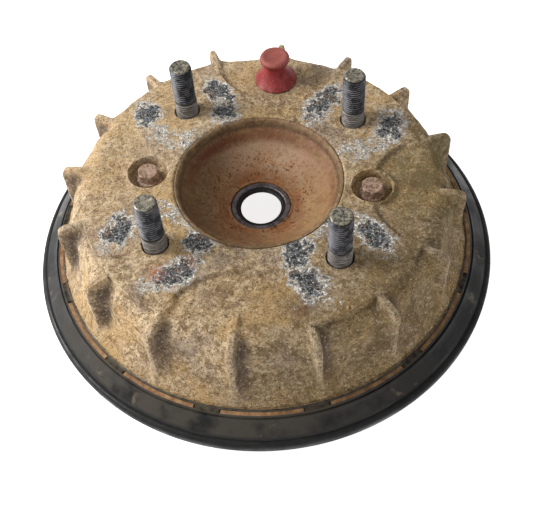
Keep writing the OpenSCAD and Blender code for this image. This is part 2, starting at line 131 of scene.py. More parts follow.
def turned(outline, angle):
    """Rows for an outline of (radius, height) points, with one point at each angle."""
    outline = np.asarray(outline, float)
    x = outline[:, :1] * np.cos(angle)
    y = outline[:, :1] * np.sin(angle)
    z = np.repeat(outline[:, 1:], len(angle), axis=1)
    return np.stack([x, y, z], -1)


print("a pipe of 2 rows and 8 places:", turned([(5, 0), (5, 9)], round_angles(8)).shape)

# %% [markdown]
# The drum is an aluminium sand casting: a face with four raised pads, a rounded shoulder, and a
# barrel that flares to a flange. Sixteen fins stand on the shoulder and barrel. Fins could be
# boxes joined by booleans, but the foundry's fillets would be missing. Here two outlines are
# drawn, one through a hollow and one along a fin, and each angle round the drum takes a share
# of both.

# %% Sizes of the casting
def ease(value, low, high):
    """0 below low, 1 above high, and a soft step between."""
    share = np.clip((value - low) / (high - low), 0, 1)
    return share * share * (3 - 2 * share)


fin_count = 16
recess_depth = 1.8
bore_radius = 37.6
shoulder_centre = (74.5, -11.8)
shoulder_radius = 10.0
barrel_radius = shoulder_centre[0] + shoulder_radius
barrel_height = 21.8
flange_radius = 94.2
flare = 9.7
fin_radius = 90.6
fin_reach, fin_rise = 16.1, 11.4
fin_corner = 6.0
print("the barrel is", barrel_radius, "mm in radius, and its fins reach", fin_radius)

# %% Outline of the casting, in a hollow and along a fin
bore_edge = [(bore_radius, -1.5), (bore_radius + 0.15, -0.6), (bore_radius + 0.7, -0.1)]
face_radii = np.linspace(bore_radius + 1.2, shoulder_centre[0], 41)
shoulder_turns = [84, 78, 73, 70, 68.5, 67, 65.5, 64, 61, 57, 53, 49, 45, 42, 39, 36, 33, 30,
                  27, 23, 18, 12, 6, 0]
flare_shares = np.linspace(0, 1, 25)[1:]

hollow = list(bore_edge) + [(r, 0.0) for r in face_radii]
along_fin = list(bore_edge)
for r in face_radii:
    along_fin.append((r, (recess_depth - 0.4) * float(ease(r, 67, 71.5))))
shoulder_height = shoulder_centre[1] + recess_depth
for turn in np.radians(shoulder_turns):
    hollow.append((shoulder_centre[0] + shoulder_radius * math.cos(turn),
                   shoulder_height + shoulder_radius * math.sin(turn)))
    squareness = (abs(math.cos(turn)) / fin_reach) ** fin_corner
    squareness += (abs(math.sin(turn)) / fin_rise) ** fin_corner
    far = squareness ** (-1 / fin_corner)
    along_fin.append((shoulder_centre[0] + far * math.cos(turn),
                      shoulder_height + far * math.sin(turn)))
for share in flare_shares:
    height = shoulder_height - barrel_height * share - recess_depth * share
    flared = barrel_radius + flare * share ** 2
    tip = fin_radius + (flange_radius - 0.2 - fin_radius) * float(ease(-height, 24, 33.6)) ** 1.5
    hollow.append((flared, height))
    along_fin.append((max(tip, flared), height))
print(len(hollow), "points from the bore to the flange")

# %% [markdown]
# Heights in those outlines are above the sunk part of the face. The pads then lift parts of it:
# the pad plan is what is left of the face when four circles are taken out of it, plus a small
# boss round each bolt.

# %% Plan of the raised pads
pad_edge = 78.5
recess_centre, recess_round = 80.5, 31.0
boss_foot, boss_top = 10.9, 9.3
bolt_spot = 50.0
stud_spot = 55.0 / math.sqrt(2)
stud_places = [(a * stud_spot, b * stud_spot) for a, b in ((1, 1), (-1, 1), (-1, -1), (1, -1))]


def pad_share(x, y):
    """1 on a pad or a bolt boss and 0 in a recess, with the soft edge of a casting."""
    radius = np.hypot(x, y)
    inside = np.full(np.shape(x), -1e3)
    for a, b in ((1, 0), (0, 1), (-1, 0), (0, -1)):
        gap = recess_round - np.hypot(x - a * recess_centre, y - b * recess_centre)
        inside = np.maximum(inside, gap)
    pads = (1 - ease(inside, -0.6, 0.9)) * (1 - ease(radius, pad_edge - 0.35, pad_edge + 0.45))
    for side in (-1, 1):
        boss = 1 - ease(np.hypot(x - side * bolt_spot, y), boss_top, boss_foot)
        pads = np.maximum(pads, boss)
    return pads


print("pad at a stud:", float(pad_share(np.array(stud_spot), np.array(stud_spot))))

# %% [markdown]
# A fin is not the same on both sides. Its share of the outline falls off softly, with a wide
# fillet on the earlier side, and on the later side it dips below the hollow for a few
# millimetres, which leaves the pocket that lies beside each real fin.

# %% How much of a fin there is round the drum
fin_half = 1.8
fin_foot_radius = 85
gap_half = 16.7


def fin_offset(angle):
    """Millimetres round from the middle of the nearest fin, more than 0 on its later side."""
    fin_pitch = 2 * math.pi / fin_count
    return ((angle + fin_pitch / 2) % fin_pitch - fin_pitch / 2) * fin_foot_radius


def fin_share(angle):
    """How much of a fin there is at an angle: 1 on the crest, falling softly to its foot."""
    signed = fin_offset(angle)
    off = np.abs(signed)
    crest = 1 / (1 + (off / fin_half) ** 7)
    fillet = np.where(signed > 0, 0.14 * np.exp(-off / 1.8), 0.30 * np.exp(-off / 3.0))
    scoop = 0.20 * np.clip(1 - off / gap_half, 0, 1) ** 1.6
    pocket = 0.16 * np.exp(-((signed - 5.0) / 3.2) ** 2)
    return crest + (1 - crest) * (fillet + scoop - pocket)


print("share on a crest and in its pocket:",
      [round(float(fin_share(np.array(mm / fin_foot_radius))), 2) for mm in (0, 5)])

# %% [markdown]
# Steps round the drum are closer together at the fins, where the surface turns fastest. Under the
# flange the drum is plain, so that part is simply turned on the same angles.

# %% Rows of the casting
steps_per_fin = 45
hollow = np.array(hollow)
along_fin = np.array(along_fin)
place_in_gap = np.tile(np.arange(steps_per_fin) / steps_per_fin, fin_count)
gap_number = np.repeat(np.arange(fin_count), steps_per_fin)
bunched = place_in_gap - 0.05 * np.sin(2 * math.pi * place_in_gap)
drum_angle = (gap_number + bunched) * 2 * math.pi / fin_count
share = fin_share(drum_angle)[None, :]
drum_r = hollow[:, :1] + (along_fin[:, :1] - hollow[:, :1]) * share
drum_z = hollow[:, 1:] + (along_fin[:, 1:] - hollow[:, 1:]) * share - recess_depth
drum_x = drum_r * np.cos(drum_angle)
drum_y = drum_r * np.sin(drum_angle)
lift = pad_share(drum_x, drum_y)
edge_rows = len(bore_edge)
lift_top = np.where(np.arange(len(hollow))[:, None] < edge_rows, drum_z + recess_depth, 0.0)
drum_z = np.maximum(drum_z, drum_z + (lift_top - drum_z) * lift)
upper = np.stack([drum_x, drum_y, drum_z], -1)

drum_under = [(flange_radius, -34.6), (flange_radius - 0.3, -35.2), (93.4, -35.4), (92.8, -35.4),
              (92.8, -46), (89, -46), (89, -39), (83.5, -39), (83.5, -46), (79, -46), (79, -21),
              (76.5, -21), (76.5, -12), (74, -9.5), (bore_radius, -9.5)]
lower = turned(drum_under, drum_angle)
print(len(upper) + len(lower), "rows of", len(drum_angle))

# %% [markdown]
# Sand leaves bumps that catch the light even from the side, and a bump map cannot change an
# outline. So a little seeded roughness is moved into the vertices themselves, in two sizes.

# %% Sand roughness on the rows
def roughen(rows, depth, size, seed):
    """Moves points along their rows' normals by smooth seeded noise."""
    along = np.roll(rows, -1, 1) - np.roll(rows, 1, 1)
    down = np.gradient(rows, axis=0)
    normal = np.cross(down, along)
    normal /= np.linalg.norm(normal, axis=-1, keepdims=True) + 1e-9
    offset = Vector((seed * 13.7, seed * 5.1, seed * 9.3))
    flat = rows.reshape(-1, 3) / size
    lumps = [noise.fractal(Vector(p) + offset, 0.8, 2.1, 3) for p in flat]
    lumps = np.array(lumps).reshape(rows.shape[:2])[..., None]
    return rows + normal * lumps * depth


sandy = roughen(upper, 0.16, 4.0, 1)
sandy = roughen(sandy, 0.22, 14.0, 2)
sandy[:edge_rows] = upper[:edge_rows]
drum_mesh = stitch("drum_casting", np.concatenate([sandy, lower]))
face_outwards(drum_mesh)
print("points moved by up to", round(float(np.abs(sandy - upper).max()), 2), "mm")

# %% [markdown]
# Each new piece must ride on the body that carries it, take a finish slot from the record, and
# say which plain piece it stands for. One call keeps those three promises together, so that
# none is forgotten.

# %% Put a piece on its body
def fit(piece, body, slot, *stands_for):
    """The piece, riding on its body, with the plain piece that it replaces hidden. The slot is not
    used.
    """
    print(piece.name, "rides on", body)
    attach(piece, body)
    if stands_for:
        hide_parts(*stands_for)
    return piece


# %% [markdown]
# The stud holes, the deep seats of the two drum bolts and the inspection hole are machined after
# casting, so their edges are crisp. A boolean does the same job here in the same order.

# %% Cutters for the holes
def set_at(rows, x, y, turn=0.0):
    """Rows turned about their own upright line, and then moved to a place."""
    placed = rows.copy()
    placed[..., 0] = rows[..., 0] * math.cos(turn) - rows[..., 1] * math.sin(turn) + x
    placed[..., 1] = rows[..., 0] * math.sin(turn) + rows[..., 1] * math.cos(turn) + y
    return placed


def peg(outline, x, y):
    """A closed cutter: a short outline turned round an upright line through x, y."""
    return stitch("cutter", set_at(turned(outline, round_angles(72)), x, y), joined=False)


def gather(meshes, name):
    """One mesh from several, which are then thrown away."""
    work = bmesh.new()
    for mesh in meshes:
        work.from_mesh(mesh)
        bpy.data.meshes.remove(mesh)
    whole = bpy.data.meshes.new(name)
    work.to_mesh(whole)
    work.free()
    return whole


plug_place = (0.0, 64.5)
bolt_seat = -5.2
stud_hole = [(5.7, -14), (5.7, -1.2), (6.1, -0.4), (6.1, 4)]
seat_hole = [(3.2, -14), (3.2, bolt_seat), (8.5, bolt_seat), (8.75, -4.9), (8.75, -0.9),
             (9.3, -0.1), (9.3, 4)]
pegs = [peg(stud_hole, x, y) for x, y in stud_places]
pegs += [peg(seat_hole, side * bolt_spot, 0) for side in (-1, 1)]
pegs.append(peg([(6.4, -14), (6.4, 4)], *plug_place))
print(len(pegs), "cutters")
cutter_mesh = gather(pegs, "cutters")
face_outwards(cutter_mesh)


# %% Machine the holes
def drill(mesh, tool):
    """The mesh with the tool's shape taken out of it."""
    block = show("block", mesh)
    cut = block.modifiers.new("cut", "BOOLEAN")
    cut.operation = "DIFFERENCE"
    cut.solver = "MANIFOLD"
    cut.object = tool
    depsgraph = bpy.context.evaluated_depsgraph_get()
    done = bpy.data.meshes.new_from_object(block.evaluated_get(depsgraph))
    bpy.data.objects.remove(block)
    return done


cutter = show("cutters", cutter_mesh)
drilled = drill(drum_mesh, cutter)
bpy.data.objects.remove(cutter)
drilled.name = "drum_casting_drilled"
drum = fit(lay_down(drilled, 38), "drum", "drum_casting", "brake_drum")

# %% [markdown]
# The finish needs to know where it is on the casting: on a crest, on the later side of a fin where
# shade is painted, beside a pad edge, or in the band round a stud where the wheel pressed and the
# metal corroded. Those are written on the vertices as marks, worked out from each point's own place,
# and the finish then breaks them up with clouds so that no edge looks drawn.

# %% Read places and write marks
def spots_on(piece):
    """x, y and height of each point in mm, then its radius, and its direction in radians."""
    flat = np.empty(len(piece.data.vertices) * 3, np.float32)
    piece.data.vertices.foreach_get("co", flat)
    points = flat.reshape(-1, 3).astype(float)
    points[:, 2] -= pad_height
    x, y, z = (points / MM).T
    return x, y, z, np.hypot(x, y), np.arctan2(y, x)


def write_marks(piece, **marks):
    """Each named mark becomes a number from 0 to 1 on every point."""
    for name, values in marks.items():
        mark = piece.data.attributes.new(name, "FLOAT", "POINT")
        mark.data.foreach_set("value", np.clip(values, 0, 1).astype(np.float32))
    print(piece.name, "has marks on", len(values), "points:", *marks)


def hump(value, middle, half):
    """1 at the middle, falling softly to both sides."""
    return np.exp(-((value - middle) / half) ** 2)


# %% Marks on the casting
spot_x, spot_y, spot_z, spot_r, spot_heading = spots_on(drum)
past_fin = fin_offset(spot_heading)
outside = ease(spot_r, 76, 80)
spot_pad = pad_share(spot_x, spot_y)
inwards = np.minimum(1, (pad_edge - 2) / spot_r)
inner_pad = pad_share(spot_x * inwards, spot_y * inwards)
# Painted shade: a darker band is painted on the later side of each fin.
lee_side = ease(past_fin, 0.7, 1.9) * ease(-past_fin, -9.0, -3.0)
fin_height = ease(-spot_z, 1.5, 5) * ease(spot_z, -33, -20)
# Painted light and shade: towards this heading, away from the lamp, the drum is painted darker and
# olive, and it is painted paler on the opposite side.
damp_side = math.radians(-28)
towards_damp = spot_x * math.cos(damp_side) + spot_y * math.sin(damp_side)
write_marks(
    drum,
    crest=ease(fin_share(spot_heading), 0.55, 0.98) * outside,
    flank=lee_side * fin_height * outside,
    belt=hump(spot_z, -24.5, 2.0) * outside,
    pad_edge=hump(spot_r, 79.0, 0.6) * ease(spot_z, -5, -2) * inner_pad,
    low=ease(-spot_z, 24, 33),
    sunk=ease(-spot_z, 0.9, 1.7) * ease(-spot_r, -76, -72),
    step=4 * spot_pad * (1 - spot_pad) * ease(-spot_r, -77, -74),
    damp=ease(towards_damp, 15, 78),
    sunny=ease(-towards_damp, 10, 70))

# %% [markdown]
# Corrosion is not an even ring. The wheel pressed on an arc here and there, which left dark bare
# patches with a white crust round them. So each stud is given its own few arcs, as a direction
# and a half width in degrees, and clouds in the finish fray them afterwards.

# %% Corroded arcs round the studs
bare_arcs = [[(140, 38), (-12, 24)], [(192, 20), (48, 22), (2, 16)],
             [(162, 26), (8, 14), (-52, 26)], [(42, 28), (178, 24), (232, 26)]]
crust_arcs = [[(150, 60), (-60, 60), (-10, 40)], [(200, 40), (45, 42), (-5, 32), (265, 45)],
              [(165, 40), (60, 50), (-10, 42), (-62, 42)], [(50, 45), (205, 72), (120, 40)]]
ring_distance, ring_half = 18.2, 7.2


def turn_from(heading, middle):
    """Degrees between a direction in radians and one in degrees, the short way round."""
    return np.abs((np.degrees(heading) - middle + 180) % 360 - 180)


def arcs_round(studs_arcs):
    """A mark that is 1 inside each stud's arcs, soft at their ends and sides."""
    total = np.zeros(len(spot_r))
    for (x, y), arcs in zip(stud_places, studs_arcs):
        far = np.hypot(spot_x - x, spot_y - y)
        across = np.exp(-np.abs((far - ring_distance) / ring_half) ** 3)
        heading = np.arctan2(spot_y - y, spot_x - x)
        for middle, half in arcs:
            along = np.exp(-(turn_from(heading, middle) / half) ** 4)
            total = np.maximum(total, across * along)
    return total * ease(-spot_r, -79, -76.5) * ease(spot_pad, 0.3, 0.8)


def blobs(places):
    """A mark of soft round blobs, each given as x, y and radius."""
    return np.max([np.exp(-((spot_x - x) ** 2 + (spot_y - y) ** 2) / size ** 2)
                   for x, y, size in places], axis=0)


write_marks(
    drum,
    clod=blobs([(24.8, -65.2, 5.5), (31.0, -58.5, 4.0), (67.0, 4.0, 4.0)]),
    moss=blobs([(70.0, 10.0, 17.0), (84.0, 24.0, 15.0)]),
    orange=blobs([(-36.0, -54.0, 3.6), (-22.0, -47.0, 2.4)]),
    bare=arcs_round(bare_arcs),
    crust=arcs_round(crust_arcs))

# %% [markdown]
# Finishes are mixed from nodes. Old metal is never one colour: dust, rust and bare metal lie over
# each other in patches of several sizes. A small kit keeps each mix readable: clouds for patches
# and grain, step to sharpen a patch, mark to read a place, lay to put one colour over another,
# and relief for the bump. Sizes are in millimetres on the piece, so a grain is the same size on
# every part.

# %% Colours as they look
def paint(code):
    """A colour written as on a paint chart, in the linear values that the shader wants."""
    shares = [int(code[i:i + 2], 16) / 255 for i in (1, 3, 5)]
    linear = [c / 12.92 if c <= 0.04045 else ((c + 0.055) / 1.055) ** 2.4 for c in shares]
    return (*linear, 1.0)


print("middle grey for the shader:", round(paint("#808080")[0], 3))


# %% The finish kit
class Finish:
    """A material on the bench. Each call adds one node and hands back its output."""

    def __init__(self, name, roughness=0.7, metallic=0.0, specular=0.5):
        self.material = bpy.data.materials.new(name)
        self.material.use_nodes = True
        self.tree = self.material.node_tree
        self.shader = self.tree.nodes["Principled BSDF"]
        self.shader.inputs["Roughness"].default_value = roughness
        self.shader.inputs["Metallic"].default_value = metallic
        self.shader.inputs["Specular IOR Level"].default_value = specular
        self.place = self.tree.nodes.new("ShaderNodeTexCoord").outputs["Object"]

    def feed(self, socket, value):
        """A socket takes a link, a colour from the paint chart, or a number."""
        if isinstance(value, bpy.types.NodeSocket):
            self.tree.links.new(value, socket)
        elif isinstance(value, str):
            socket.default_value = paint(value)
        else:
            socket.default_value = value

    def clouds(self, size, detail=4.0, rough=0.55, twist=0.0, place=None):
        """Patches of about that size in mm, with finer and finer detail in them."""
        node = self.tree.nodes.new("ShaderNodeTexNoise")
        self.feed(node.inputs["Vector"], place or self.place)
        node.inputs["Scale"].default_value = 1 / (size * MM)
        node.inputs["Detail"].default_value = detail
        node.inputs["Roughness"].default_value = rough
        node.inputs["Distortion"].default_value = twist
        return node.outputs["Fac"]

    def step(self, value, low, high):
        """0 at low and 1 at high, with a soft step between."""
        node = self.tree.nodes.new("ShaderNodeMapRange")
        node.interpolation_type = "SMOOTHSTEP"
        self.feed(node.inputs["Value"], value)
        node.inputs["From Min"].default_value = low
        node.inputs["From Max"].default_value = high
        return node.outputs["Result"]

    def sums(self, work, first, second=0.0):
        node = self.tree.nodes.new("ShaderNodeMath")
        node.operation = work
        self.feed(node.inputs[0], first)
        self.feed(node.inputs[1], second)
        return node.outputs[0]

    def times(self, *values):
        result = values[0]
        for value in values[1:]:
            result = self.sums("MULTIPLY", result, value)
        return result

    def mix(self, share, first, second):
        """The first colour where the share is 0, and the second where it is 1."""
        node = self.tree.nodes.new("ShaderNodeMix")
        node.data_type = "RGBA"
        self.feed(node.inputs[0], share)
        self.feed(node.inputs[6], first)
        self.feed(node.inputs[7], second)
        return node.outputs[2]

    def lay(self, under, over, strength, *shares):
        """One colour over another, as far as all the shares together let it show."""
        return self.mix(self.times(*shares, strength), under, over)

    def mark(self, name):
        """A mark that was written on the points of the piece."""
        node = self.tree.nodes.new("ShaderNodeAttribute")
        node.attribute_name = name
        return node.outputs["Fac"]

    def stretched(self, x, y, z):
        """Places drawn out, so that clouds become streaks."""
        node = self.tree.nodes.new("ShaderNodeVectorMath")
        node.operation = "MULTIPLY"
        self.feed(node.inputs[0], self.place)
        node.inputs[1].default_value = (x, y, z)
        return node.outputs[0]

    def colour(self, value):
        self.feed(self.shader.inputs["Base Color"], value)

    def roughness(self, value, low, high):
        """Roughness between low and high as a value goes from 0 to 1."""
        node = self.tree.nodes.new("ShaderNodeMapRange")
        self.feed(node.inputs["Value"], value)
        node.inputs["To Min"].default_value = low
        node.inputs["To Max"].default_value = high
        self.feed(self.shader.inputs["Roughness"], node.outputs["Result"])

    def relief(self, *layers):
        """Bump layers of (height value, depth in mm), one on the other."""
        normal = None
        for height, depth in layers:
            node = self.tree.nodes.new("ShaderNodeBump")
            node.inputs["Distance"].default_value = depth * MM
            self.feed(node.inputs["Height"], height)
            if normal is not None:
                self.feed(node.inputs["Normal"], normal)
            normal = node.outputs["Normal"]
        self.feed(self.shader.inputs["Normal"], normal)


def dress(piece, finish):
    """Gives a piece one finish all over."""
    if not piece.material_slots:
        piece.data.materials.append(finish.material)
    for slot in piece.material_slots:
        slot.material = finish.material
    print(piece.name, "wears", finish.material.name)


# %% [markdown]
# Dried mud and dust lie on sand cast aluminium. First comes the dust all over: tan in patches of
# several sizes, with brown stains, and paler on the side towards the lamp, which is painted light.
# One picture of dirt would repeat and blur, while clouds of different sizes laid over each other
# never do.

# %% Dust and painted light on the casting
cast = Finish("cast_aluminium_under_dust", roughness=0.9, specular=0.2)
patches = cast.clouds(22, detail=3)
blots = cast.clouds(7, detail=6, rough=0.68)
stains = cast.clouds(9, detail=6, rough=0.62, twist=0.6)
mottle = cast.clouds(2.2, detail=5, rough=0.75)
grit = cast.clouds(1.5, detail=3, rough=0.8)
sand = cast.clouds(0.75, detail=2, rough=0.7)
fleck = cast.clouds(1.0, detail=3, rough=0.75)
speck = cast.clouds(0.85, detail=2, rough=0.7)
dust = cast.mix(cast.step(mottle, 0.40, 0.60), "#8c7455", "#cdb593")
dust = cast.lay(dust, "#b89560", 0.6, cast.step(patches, 0.50, 0.60))
dust = cast.lay(dust, "#8b7c71", 0.55, cast.step(patches, 0.45, 0.36))
dust = cast.lay(dust, "#73593e", 0.6, cast.step(blots, 0.54, 0.62))
dust = cast.lay(dust, "#5a4029", 0.65, cast.step(stains, 0.56, 0.65))
dust = cast.lay(dust, "#cbb694", 0.55, cast.step(stains, 0.42, 0.34))
# Painted light: paler on the side towards the lamp.
dust = cast.lay(dust, "#ccb493", 0.4, cast.mark("sunny"), cast.step(mottle, 0.30, 0.55))
print("nodes so far:", len(cast.tree.nodes))

# %% [markdown]
# Then dirt goes where dirt collects, with painted shade among it: an olive film with painted shade
# on the side away from the lamp, painted grey brown shade on the later side of each fin, mud towards
# the flange, moss, and dark grains in the pits. Crests are rubbed paler.

# %% Dirt and painted shade by place
# Olive film and painted shade on the side away from the lamp.
dust = cast.lay(dust, "#5d4f32", 0.66, cast.mark("damp"), cast.step(blots, 0.20, 0.52))
# Painted shade on the later side of each fin.
dust = cast.lay(dust, "#4d3f38", 0.9, cast.mark("flank"), cast.step(blots, 0.22, 0.46))
dust = cast.lay(dust, "#b8a58e", 0.5, cast.mark("crest"), cast.step(mottle, 0.35, 0.6))
dust = cast.lay(dust, "#69543c", 0.5, cast.mark("belt"), cast.step(blots, 0.42, 0.60))
dust = cast.lay(dust, "#94784e", 0.4, cast.mark("sunk"), cast.step(blots, 0.62, 0.4))
dust = cast.lay(dust, "#55422c", 0.4, cast.mark("step"), cast.step(mottle, 0.34, 0.6))
dust = cast.lay(dust, "#9a7c4e", 0.6, cast.mark("low"), cast.step(mottle, 0.4, 0.6))
dust = cast.lay(dust, "#5b442b", 0.5, cast.step(grit, 0.43, 0.36))
dust = cast.lay(dust, "#d9c5a0", 0.3, cast.step(grit, 0.57, 0.65))
dust = cast.lay(dust, "#5c4a33", 0.5, cast.step(sand, 0.46, 0.40))
dust = cast.lay(dust, "#e3d5bb", 0.6, cast.step(fleck, 0.60, 0.67))
dust = cast.lay(dust, "#33251a", 0.85, cast.step(speck, 0.39, 0.34))
dust = cast.lay(dust, "#5a4f27", 0.6, cast.mark("moss"), cast.step(blots, 0.30, 0.52))
dust = cast.lay(dust, "#59402a", 0.85, cast.mark("clod"), cast.step(mottle, 0.42, 0.54))
dust = cast.lay(dust, "#3b2c1e", 0.6, cast.mark("pad_edge"), cast.step(blots, 0.40, 0.60))
print("nodes so far:", len(cast.tree.nodes))

# %% [markdown]
# Corrosion eats inwards from its own edge. So one level of attack is worked out, the arcs round
# the studs plus a cloud that frays them, and each depth of it has its look: a pale haze first,
# then crumbs of white crust, and in the middle dark bare metal.

# %% Corrosion round the studs
fray = cast.clouds(3.6, detail=7, rough=0.68, twist=0.5)
crumbs = cast.clouds(1.2, detail=4, rough=0.8)
attack = cast.sums("ADD", cast.times(cast.mark("crust"), 0.38), cast.times(cast.mark("bare"), 0.36))
attack = cast.sums("ADD", attack, cast.times(cast.sums("SUBTRACT", fray, 0.5), 1.7))
halo = cast.times(cast.step(attack, 0.16, 0.46), 0.55)
hazed = cast.mix(halo, dust, cast.mix(cast.step(mottle, 0.4, 0.6), "#8d8678", "#cfc5b4"))
crust_here = cast.times(cast.step(attack, 0.24, 0.40), cast.step(crumbs, 0.45, 0.52))
white = cast.mix(cast.step(sand, 0.36, 0.56), "#c2baaf", "#fbf7f0")
crusted = cast.mix(crust_here, hazed, white)
bare_here = cast.times(cast.step(attack, 0.46, 0.60), cast.step(crumbs, 0.64, 0.57))
bare_metal = cast.mix(cast.step(mottle, 0.42, 0.58), "#303234", "#727477")
bare_metal = cast.lay(bare_metal, "#d2cdc5", 0.85, cast.step(fleck, 0.57, 0.62))
bare_metal = cast.lay(bare_metal, "#7d6448", 0.7, cast.step(blots, 0.55, 0.62))
bare_metal = cast.mix(cast.step(speck, 0.42, 0.37), bare_metal, "#141414")
worn_pad = cast.mix(bare_here, crusted, bare_metal)
cast.colour(cast.lay(worn_pad, "#a65f3a", 0.8, cast.mark("orange"), cast.step(mottle, 0.40, 0.52)))
cast.roughness(bare_here, 0.9, 0.6)
cast.relief((mottle, 0.5), (sand, 0.35), (fleck, 0.25), (cast.times(crust_here, crumbs), 0.6))
dress(drum, cast)

# %% [markdown]
# The hub is a steel forging: a deep round dish, a neck behind it for the axle, and a flange with
# lobes for the studs. Its dish is the piece that the eye goes to, so it is turned with
# many rows, and given soft dents. The lobes only change the flange's outer radius, so the same
# rows serve: each angle asks how far out the circles reach.

# %% Outline of the dish
def bow(centre, radius, start, end, steps):
    """Points on an arc, for the round parts of an outline. Angles in degrees."""
    angle = np.radians(np.linspace(start, end, steps + 1))
    return [(centre[0] + radius * math.cos(a), centre[1] + radius * math.sin(a)) for a in angle]


dish_mouth = 36.75
dish_above = 22.3
dish_round = math.hypot(dish_mouth, dish_above + 1.2)
seat_radius = 13.8
mouth_turn = -math.degrees(math.acos(dish_mouth / dish_round))
seat_turn = -math.degrees(math.acos((seat_radius + 1.2) / dish_round))
dish = bow((0, dish_above), dish_round, mouth_turn, seat_turn, 72)
dish_floor = dish[-1][1]
lip = [(37.55, -9.5), (37.55, -0.8), (37.4, -0.4), (37.0, -0.3), (36.5, -0.5), (36.1, -0.85),
       (35.8, -1.45), (35.6, -2.3), (35.35, -3.1), (35.0, -3.7), (34.7, -4.3)]
front = lip + [point for point in dish if point[0] < 34.4]
print("dish floor at", round(dish_floor, 1), "mm")

# %% Outline behind the dish
seat = [(14.3, dish_floor + 0.25), (13.9, dish_floor + 0.15), (seat_radius, dish_floor - 0.3),
        (seat_radius, -23.2), (18, -23.2)]
dish_wall = 3.5
flange_back = -17.5
neck_inside, neck_outside = 31.5, 35
back_round = dish_round + dish_wall
dish_back = bow((0, dish_above), back_round, -math.degrees(math.acos(18.2 / back_round)),
                -math.degrees(math.acos(neck_inside / back_round)), 10)
dish_back = [point for point in dish_back if point[1] < flange_back - 0.1]
neck = [(neck_inside, flange_back), (neck_inside, -46.6), (31.9, -47), (34.6, -47),
        (neck_outside, -46.6), (neck_outside, flange_back)]
flange = [(49.0, flange_back), (50.0, -17.2), (50.0, -9.8), (49.0, -9.5)]
hub_outline = front + seat + dish_back + neck + flange
flange_rows = range(len(hub_outline) - len(flange), len(hub_outline))
hub_angle = round_angles(288)
hub_rows = turned(hub_outline, hub_angle)
print("hub outline:", len(hub_outline), "points")

# %% Lobes on the hub flange
def reach(angle, x, y, radius):
    """How far out a circle reaches along each angle, or 0 where it is missed."""
    far = math.hypot(x, y)
    off = angle - math.atan2(y, x)
    across = radius ** 2 - (far * np.sin(off)) ** 2
    return np.where((across > 0) & (np.cos(off) > 0),
                    far * np.cos(off) + np.sqrt(np.maximum(across, 0)), 0)


stud_lobe, bolt_lobe = 11.5, 9.0
rim = np.full(len(hub_angle), 50.5)
for x, y in stud_places:
    rim = np.maximum(rim, reach(hub_angle, x, y, stud_lobe))
for side in (-1, 1):
    rim = np.maximum(rim, reach(hub_angle, side * bolt_spot, 0, bolt_lobe))
for row, inset in zip(flange_rows, (1.0, 0.0, 0.0, 1.0)):
    hub_rows[row, :, 0] = (rim - inset) * np.cos(hub_angle)
    hub_rows[row, :, 1] = (rim - inset) * np.sin(hub_angle)
hub_rows[3:len(front)] = roughen(hub_rows[3:len(front)], 0.28, 15.0, 3)
hub_rows[3:len(front)] = roughen(hub_rows[3:len(front)], 0.10, 3.5, 4)
hub = fit(lay_down(stitch("hub_dish", hub_rows), 40), "drum", "hub_steel", "wheel_hub")

# %% Marks in the dish
_, _, dish_z, dish_r, dish_heading = spots_on(hub)


def sector(middle, half):
    """1 towards a compass direction in degrees, falling softly to its sides."""
    return np.exp(-(turn_from(dish_heading, middle) / half) ** 4)


inside_dish = ease(-dish_z, 0.5, 1.5) * ease(-dish_r, -37.2, -36.5) * ease(dish_z, -21, -20)
write_marks(
    hub,
    ring=hump(dish_r, 16.6, 2.2) * inside_dish,
    lip=ease(dish_r, 34.6, 35.6),
    groove=hump(dish_r, 35.1, 0.45),
    # Red rust and painted shade on the left wall of the dish.
    red_band=hump(dish_r, 32.3, 1.9) * np.maximum(sector(142, 34), 0.35 * sector(95, 40)),
    mauve=ease(dish_r, 22, 29) * sector(45, 38),
    # Dust and painted light on the right wall of the dish.
    dry=ease(dish_r, 16, 23) * ease(-dish_r, -34, -30) * sector(-8, 48),
    orange=ease(-dish_r, -33, -20) * np.maximum(sector(-80, 60), sector(70, 55)),
    dusty=ease(dish_r, 17, 24) * ease(-dish_r, -32, -29) * sector(88, 50),
    shaded=ease(dish_r, 20, 30) * sector(185, 60),
    pitted=inside_dish * ease(-dish_r, -33, -22))

# %% [markdown]
# Bare steel in a wet place rusts in layers: brown all over, orange brown where water stood, a dark
# red band high on the left wall that is also painted shade, and almost black pits. Dust lies on the
# slopes, paler on the right wall as painted light, and the grease seal has left a stained ring round
# the bottom of the dish.

# %% Rust, dust and painted light and shade on the hub
rust = Finish("rusty_forged_steel", roughness=0.78, specular=0.3)
wide = rust.clouds(20, detail=3)
stains = rust.clouds(8, detail=6, rough=0.65, twist=0.5)
mottle = rust.clouds(2.0, detail=5, rough=0.72)
sand = rust.clouds(0.8, detail=3, rough=0.75)
spatter = rust.clouds(1.5, detail=3, rough=0.6)
tone = rust.mix(rust.step(mottle, 0.36, 0.64), "#66492f", "#8f7250")
tone = rust.lay(tone, "#754a2f", 0.55, rust.step(wide, 0.42, 0.56))
tone = rust.lay(tone, "#99794f", 0.5, rust.step(stains, 0.50, 0.66))
# Painted light with dust: paler on the right wall, which faces the lamp.
tone = rust.lay(tone, "#997a54", 0.7, rust.mark("dry"), rust.step(stains, 0.30, 0.52))
tone = rust.lay(tone, "#855f4f", 0.6, rust.mark("mauve"), rust.step(stains, 0.40, 0.58))
tone = rust.lay(tone, "#a0856c", 0.8, rust.mark("dusty"), rust.step(stains, 0.26, 0.46))
tone = rust.lay(tone, "#85552c", 0.7, rust.mark("orange"), rust.step(stains, 0.42, 0.60))
tone = rust.lay(tone, "#54452d", 0.3, rust.mark("shaded"))
tone = rust.lay(tone, "#6f3f1e", 0.75, rust.mark("ring"), rust.step(stains, 0.38, 0.58))
